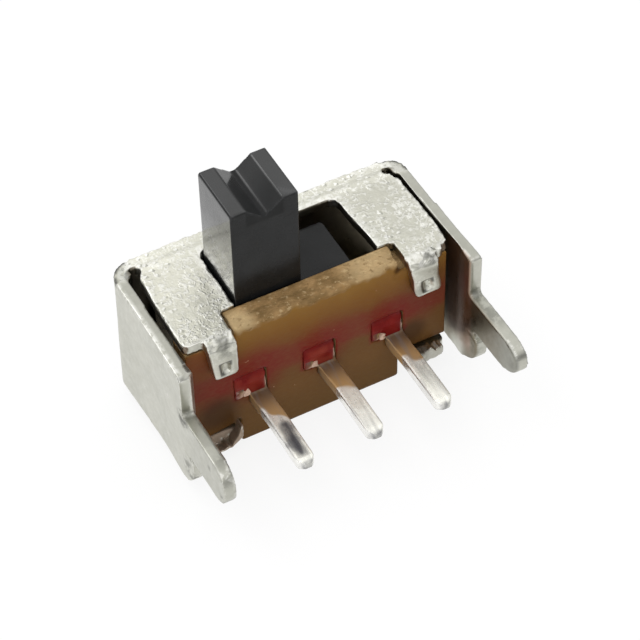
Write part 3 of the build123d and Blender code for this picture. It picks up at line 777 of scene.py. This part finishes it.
def makePinTin():
    look = terminalMetal
    material, shader, use = startMaterial("tinned_brass", look)
    along = put("SeparateXYZ", {0: placeMm()}).outputs["Y"]
    stained, litFlank = mask("stained"), mask("litFlank")
    # the stained root is darker towards the board; left faces are painted lighter as a reflection
    stain = blend(fade(along, *look["spans"]["root"]), look["root"], look["rootDark"])
    stain = tint(litFlank, look["shares"]["rootLitFlank"], stain, look["rootLitFlank"])
    base = blend(stained, blend(litFlank, look["tin"], look["litFlank"]), stain)
    marks = times(use["marks"]["Mask"], mask("worn"))
    base = paint(base, look, {"marks": marks, "streaks": use["streaks"]["Mask"]})
    dull = calc("MAXIMUM", stained, mask("nib"))
    rough = patchy(use["patch"]["Value"], look["rough"])
    rough = calc("ADD", rough, times(dull, look["dullRough"]))
    metal = calc("ADD", look["metal"], times(litFlank, look["flankMetal"]))
    metal = times(metal, fade(mask("bevel"), 0, 1, *look["bevelMetal"]))
    metal = times(metal, fade(dull, 0, 1, *look["dullMetal"]))
    feed(shader, {"Base Color": base, "Roughness": rough, "Metallic": metal,
                        "Normal": bump(use["ripple"]["Height"], look["rippleDepth"]),
                        "Specular IOR Level": look["gloss"]})
    return material


def shapeTerminal(piece, side):  # returns the spots, the pin's middle and the nib's mask
    look, spans, spots = terminalMetal, terminalMetal["spans"], getSpots(piece)
    x, y, z = spots.T  # these follow the moves
    # round tip
    middle = look["places"][side] + look["pinShift"] + look["pinDrift"]
    gone = 1 - np.clip((y + look["pinLength"]) / look["tipLength"], 0, 1)
    x += look["pinDrift"] * ramp01(y, *spans["drift"])
    x[:] = middle + (x - middle) * np.sqrt(1 - look["tipNarrow"] * gone ** 2)
    # ragged bare nib above the pin's root
    low, high = (look["places"][side] + end for end in look["nibSpan"])
    nib = within(x, low, high, look["nibSoft"]) * within(z, *look["bands"]["nibUp"])
    nib *= ramp01(y, *spans["nibDeep"])
    coreX = (low + high) / 2 + look["nibShift"] / look["nibShrink"]
    core = (coreX, 0.0, look["pinTop"] + look["nibHeight"] / 2)
    spots += (core - spots) * (nib * look["nibShrink"])[:, None]
    rough = np.stack([waves(spots, look["nibScale"], seed) for seed in look["nibSeeds"]], axis=1)
    spots -= rough * (nib * look["nibRough"])[:, None]
    setSpots(piece, spots)
    return spots, middle, nib


def makeTerminal(side, material):
    look = terminalMetal
    spans, bands, share = look["spans"], look["bands"], look["shares"]
    piece = startPiece("terminal_" + side, "terminal_" + side + "_strip", look)
    spots, middle, nib = shapeTerminal(piece, side)
    normals = getNormals(piece)
    x, y, z = spots.T
    fromMiddle, leftward, up = x - middle, -normals[:, 0], normals[:, 2]
    # the strip's share of the nib mask is a painted highlight along the terminal strip's right edge
    strip = ramp01(fromMiddle, *spans["strip"]) * ramp01(z, *spans["stripUp"])
    smear = ramp01(fromMiddle, *spans["smear"]) * within(z, *bands["smearUp"]) * (1 - nib)
    along = y + look["skew"][side] * fromMiddle + look["uneven"] * waves(spots, *look["noise"]["uneven"])
    tip = ramp01(y, *spans["tip"])
    line = within(fromMiddle, *bands["line"]) * within(y, *bands["lineAlong"]) * ramp01(up, *spans["top"])
    streaky = ramp01(waves(spots, *look["noise"]["streaky"]), *spans["streaky"])
    streaky = 1 - share["streaky"] + share["streaky"] * streaky
    under = ramp01(leftward, *spans["underSide"]) * ramp01(z, *spans["under"])
    # painted shade along the middle of the pins' tops, mostly the left pin's, on the tips and along the
    # lower edge of the left flanks
    dark = [look["dark"][side] * line * streaky, share["tipDark"] * tip, share["under"] * under]
    addMasks(piece, {
        "nib": most(nib * ramp01(y, *spans["nibFront"]), share["strip"] * strip),
        "smear": smear * ramp01(y, *spans["smearFront"]), "stained": ramp01(along, *spans["tinned"]),
        "litFlank": ramp01(leftward, *spans["litFlank"]),
        "bevel": within(leftward, *bands["bevel"]) * ramp01(up, *spans["bevelUp"]),
        "dark": most(*dark),
        "worn": spotMask(spots, look["worn"]) + share["touched"] + share["tipWorn"] * tip})
    settle(piece, "body", material, "terminal_" + side)


# seals: red resin sunk in the board's slots
sealResin = dict(
    voxel=0.026, rounds=3, lump=0.02, flush=0.025, sink=0.1, bare=0.05, halfWidth=0.46,
    bareWidth=0.2, seeds=dict(left=3.0, middle=10.0, right=17.0), lumpScale=2.6, filmScale=3,
    filmSeed=40.0, filmed=dict(left=0.6, middle=0.8, right=0.1),
    spans=dict(front=(0.2, 0.0), sunk=(2.15, 2.42), bare=(2.3, 2.15), facing=(0.2, 0.6),
               filmBreak=(-0.5, 0.2), film=(2.42, 2.27)),
    red=colour(0.18, 0.007, 0.006), deep=colour(0.08, 0.003, 0.003), pale=colour(0.26, 0.03, 0.022),
    film=colour(0.22, 0.034, 0.02),
    patterns=dict(depth=(blotches, dict(Scale=2.0, Seed=2.0, Level=0.52, Softness=0.2)),
                  haze=(blotches, dict(Scale=3.2, Seed=8.0, Level=0.64, Softness=0.1)),
                  edgeSheen=(edgeSheenAndShade, dict(Start=0.52, Full=0.58, Breakup=0.7, Scale=4.0)),
                  lumps=(grain, dict(Scale=4.0, Fine=0.25)), patch=(blotches, dict(Scale=3.0, Seed=5.0))),
    # pale edges are painted highlights and deep hollows painted shade; depth and haze vary at random
    layers=dict(depth=(0.6, "deep"), haze=(0.4, "pale"), edgeSheen=(0.3, "pale"), hollowShade=(0.15, "deep"),
                filmed=(1.0, "film")),
    rough=(0.25, 0.45), gloss=0.1, lumpDepth=0.015,
)


def makeResin():
    look = sealResin
    material, shader, use = startMaterial("red_resin", look)
    masks = {name: use[name]["Mask"] for name in ("depth", "haze", "edgeSheen")}
    base = paint(look["red"], look, {**masks, "hollowShade": use["edgeSheen"]["HollowShade"]})
    feed(shader, {"Base Color": base, "Roughness": patchy(use["patch"]["Value"], look["rough"]),
                        "Normal": bump(use["lumps"]["Height"], look["lumpDepth"]),
                        "Specular IOR Level": look["gloss"]})
    return material


def makeSeal(side, material):
    look, spans, seed = sealResin, sealResin["spans"], sealResin["seeds"][side]
    piece = startPiece("seal_" + side, "seal_" + side + "_resin", look)
    spots, normals = getSpots(piece), getNormals(piece)
    x, y, z = spots.T.copy()
    front = ramp01(y, *spans["front"])
    spots[:, 1] += front * (look["flush"] + look["sink"] * ramp01(z, *spans["sunk"]))
    right = terminalMetal["places"][side] + look["halfWidth"]
    bare = ramp01(x, right - look["bareWidth"], right) * ramp01(z, *spans["bare"])
    spots[:, 0] -= look["bare"] * bare * front
    lumps = (0.5 + 0.5 * waves(spots, look["lumpScale"], seed)) * ramp01(-normals[:, 1], *spans["facing"])
    spots -= normals * (lumps * look["lump"])[:, None]
    setSpots(piece, spots)
    broken = ramp01(waves(spots, look["filmScale"], seed + look["filmSeed"]), *spans["filmBreak"])
    addMasks(piece, {"filmed": look["filmed"][side] * broken * ramp01(z, *spans["film"])})
    settle(piece, "body", material, "seal_" + side)


# slider: black moulding with polished sides
sliderMoulding = dict(
    voxel=0.045, rounds=2,
    spans=dict(landUp=(0.85, 0.97), land=(7.3, 7.4), side=(0.9, 0.98), fingered=(4.9, 7.0),
               groove=(6.9, 7.0), slope=(0.25, 0.5), slopeBack=(0.9, 2.3)),
    grooveBand=(-1.5, -0.5, 0.05), fingered=0.55, slopeFront=0.3, landShine=0.7, slopeShine=0.55,
    black=colour(0.009, 0.0095, 0.0095), worn=colour(0.06, 0.06, 0.062), dust=colour(0.09, 0.085, 0.075),
    patterns=dict(tone=(blotches, dict(Scale=1.4, Seed=3.0, Softness=0.25)),
                  edgeSheen=(edgeSheenAndShade, dict(Start=0.515, Full=0.57, Breakup=0.5, Scale=3.0)),
                  dust=(blotches, dict(Scale=7.0, Seed=6.0, Level=0.74, Softness=0.03)),
                  patch=(blotches, dict(Scale=2.0, Seed=9.0)), fine=(grain, dict(Scale=9.0, Fine=0.5))),
    # lighter edges are painted highlights; the tone varies at random and the dust is real
    layers=dict(tone=(0.12, "worn"), edgeSheen=(0.6, "worn"), dust=(0.35, "dust")),
    rough=(0.2, 0.32), grooveRough=0.3, gloss=0.18, coatIndex=1.65, coatRough=0.08,
    fineDepth=0.0012,
)


def makeBlack():
    look = sliderMoulding
    material, shader, use = startMaterial("black_moulding", look)
    base = paint(look["black"], look, {name: use[name]["Mask"] for name in look["layers"]})
    rough = patchy(use["patch"]["Value"], look["rough"])
    rough = calc("ADD", rough, times(mask("groove"), look["grooveRough"]))
    feed(shader, {"Base Color": base, "Roughness": rough, "Coat Weight": mask("polished"),
                        "Normal": bump(use["fine"]["Height"], look["fineDepth"]),
                        "Specular IOR Level": look["gloss"], "Coat IOR": look["coatIndex"],
                        "Coat Roughness": look["coatRough"]})
    return material


def makeSlider():
    look, spans = sliderMoulding, sliderMoulding["spans"]
    piece = startPiece("slider", "slider_moulding", look)
    (x, y, z), normals = getSpots(piece).T, getNormals(piece)
    sideways, up = np.abs(normals[:, 0]), normals[:, 2]
    lands = ramp01(up, *spans["landUp"]) * ramp01(z, *spans["land"])
    sides = ramp01(sideways, *spans["side"]) * (1 - look["fingered"] * ramp01(z, *spans["fingered"]))
    inGroove = within(x, *look["grooveBand"]) * ramp01(z, *spans["groove"])
    lit = look["slopeFront"] + (1 - look["slopeFront"]) * ramp01(y, *spans["slopeBack"])
    slopes = inGroove * ramp01(sideways, *spans["slope"]) * lit
    shine = [sides, look["landShine"] * lands, look["slopeShine"] * slopes]
    addMasks(piece, {"polished": most(*shine), "groove": inGroove * (1 - lands) * (1 - slopes)})
    settle(piece, "slider", makeBlack(), "slider")


# inner metal: contact, ball and spring keep their CAD shapes
innerMetal = dict(
    moving_contact=dict(name="rolled_bronze", rough=(0.25, 0.45), stretch=(0.2, 1, 2),
                        colour=colour(0.55, 0.34, 0.18), dark=colour(0.3, 0.17, 0.09)),
    detent_ball=dict(name="polished_steel", rough=(0.08, 0.2), stretch=(1, 1, 1),
                     colour=colour(0.6, 0.6, 0.6), dark=colour(0.42, 0.42, 0.43)),
    detent_spring=dict(name="drawn_wire", rough=(0.2, 0.4), stretch=(1, 1, 1),
                       colour=colour(0.5, 0.49, 0.47), dark=colour(0.28, 0.27, 0.26)),
)
scratchDepth = 0.002


def dressInner():
    for nodeName, look in innerMetal.items():
        look["patterns"] = {
            "tone": (blotches, {"Scale": 3.0, "Stretch": look["stretch"], "Softness": 0.2}),
            "scratch": (grain, {"Scale": 12.0, "Stretch": look["stretch"], "Fine": 0.5})}
        material, shader, use = startMaterial(look["name"], look)
        base = blend(use["tone"]["Mask"], look["colour"], look["dark"])
        feed(shader, {"Base Color": base, "Roughness": patchy(use["tone"]["Value"], look["rough"]),
                            "Metallic": 1.0, "Normal": bump(use["scratch"]["Height"], scratchDepth)})
        cadNodes[nodeName].material_slots[0].material = material


# stage: white floor that keeps a shadow, soft sky and three lamps
stageSet = dict(
    floor=0.6, floorColour=colour(0.88, 0.88, 0.88), glow=0.84, aim=(0, 0, 0.003),
    sky=[(0.0, 0.35), (0.3, 0.5), (0.62, 1.04), (0.78, 1.17), (1.0, 1.0)],
)
lampSet = dict(
    overhead=dict(place=(-0.03, 0.0, 0.13), size=0.11, level=1.45, mirrored=False),
    back=dict(place=(-0.075, 0.13, 0.15), size=0.07, level=2.2, mirrored=True),
    front=dict(place=(-0.09, -0.15, 0.09), size=0.1, level=1.0, mirrored=True),
)


def makeFloor():
    half = stageSet["floor"] / 2
    mesh = bpy.data.meshes.new("floor")
    corners = [(-half, -half, 0), (half, -half, 0), (half, half, 0), (-half, half, 0)]
    mesh.from_pydata(corners, [], [(0, 1, 2, 3)])
    floor = bpy.data.objects.new("floor", mesh)
    scene.collection.objects.link(floor)
    material = bpy.data.materials.new("white_floor")
    material.use_nodes = True
    tree = work.tree = material.node_tree
    tree.nodes.clear()
    rays = put("LightPath").outputs
    seen = calc("MAXIMUM", rays["Is Camera Ray"], rays["Is Glossy Ray"])
    seen = calc("MAXIMUM", seen, rays["Is Transmission Ray"])
    share = times(seen, stageSet["glow"])
    matt = put("BsdfDiffuse", {"Color": stageSet["floorColour"]}).outputs[0]
    glow = put("Emission", {"Color": colour(1, 1, 1), "Strength": 1.0}).outputs[0]
    mix = put("MixShader", {0: share, 1: matt, 2: glow})
    tree.links.new(mix.outputs[0], put("OutputMaterial").inputs["Surface"])
    mesh.materials.append(material)


def makeSky():
    world = bpy.data.worlds.new("studio")
    scene.world = world
    world.use_nodes = True
    tree = work.tree = world.node_tree
    tree.nodes.clear()
    up = put("SeparateXYZ", {0: put("TexCoord").outputs["Generated"]}).outputs["Z"]
    levels = steps(up, [(place, colour(level, level, level)) for place, level in stageSet["sky"]])
    camera = put("LightPath").outputs["Is Camera Ray"]
    seen = blend(camera, levels, colour(1, 1, 1))
    light = put("Background", {"Color": seen, "Strength": 1.0})
    tree.links.new(light.outputs[0], put("OutputWorld").inputs["Surface"])


def makeLamps():
    for name, look in lampSet.items():
        lamp = bpy.data.lights.new(name, "AREA")
        lamp.size = look["size"]
        lamp.energy = look["level"] * math.pi * look["size"] ** 2
        holder = bpy.data.objects.new(name, lamp)
        scene.collection.objects.link(holder)
        holder.location = look["place"]
        holder.visible_glossy = look["mirrored"]
        aim = Vector(stageSet["aim"]) - Vector(look["place"])
        holder.rotation_euler = aim.to_track_quat("-Z", "Y").to_euler()


cameraSet = dict(
    azimuth=-27.05, elevation=48.34, roll=-1.48, distance=64.69, target=(0.403, 0.714, 2.565),
    lens=140.37, sensor=36.0, clip=(0.001, 10.0),
)


def makeCamera():
    look = cameraSet
    turn, lift, roll = (math.radians(look[name]) for name in ("azimuth", "elevation", "roll"))
    back = Vector((math.sin(turn) * math.cos(lift), -math.cos(turn) * math.cos(lift), math.sin(lift)))
    right = Vector((math.cos(turn), math.sin(turn), 0))
    up = back.cross(right)
    swing, stay = math.sin(roll), math.cos(roll)
    right, up = right * stay + up * swing, up * stay - right * swing
    lens = bpy.data.cameras.new("view")
    lens.lens = look["lens"]
    lens.sensor_width = look["sensor"]
    lens.clip_start, lens.clip_end = look["clip"]
    camera = bpy.data.objects.new("view", lens)
    scene.collection.objects.link(camera)
    eye = (Vector(look["target"]) + Vector((0, frontY, 0)) + back * look["distance"]) * mm
    camera.matrix_world = Matrix.Translation(eye) @ Matrix((right, up, back)).transposed().to_4x4()
    scene.camera = camera


makeCamera()
makeFloor()
makeSky()
makeLamps()
scene.view_settings.view_transform = "Standard"
print("stage set")

makeFrame()
makeBoard()
pinTin, resin = makePinTin(), makeResin()
for side in terminalMetal["places"]:
    makeTerminal(side, pinTin)
    makeSeal(side, resin)
makeSlider()
dressInner()
print("pieces dressed")
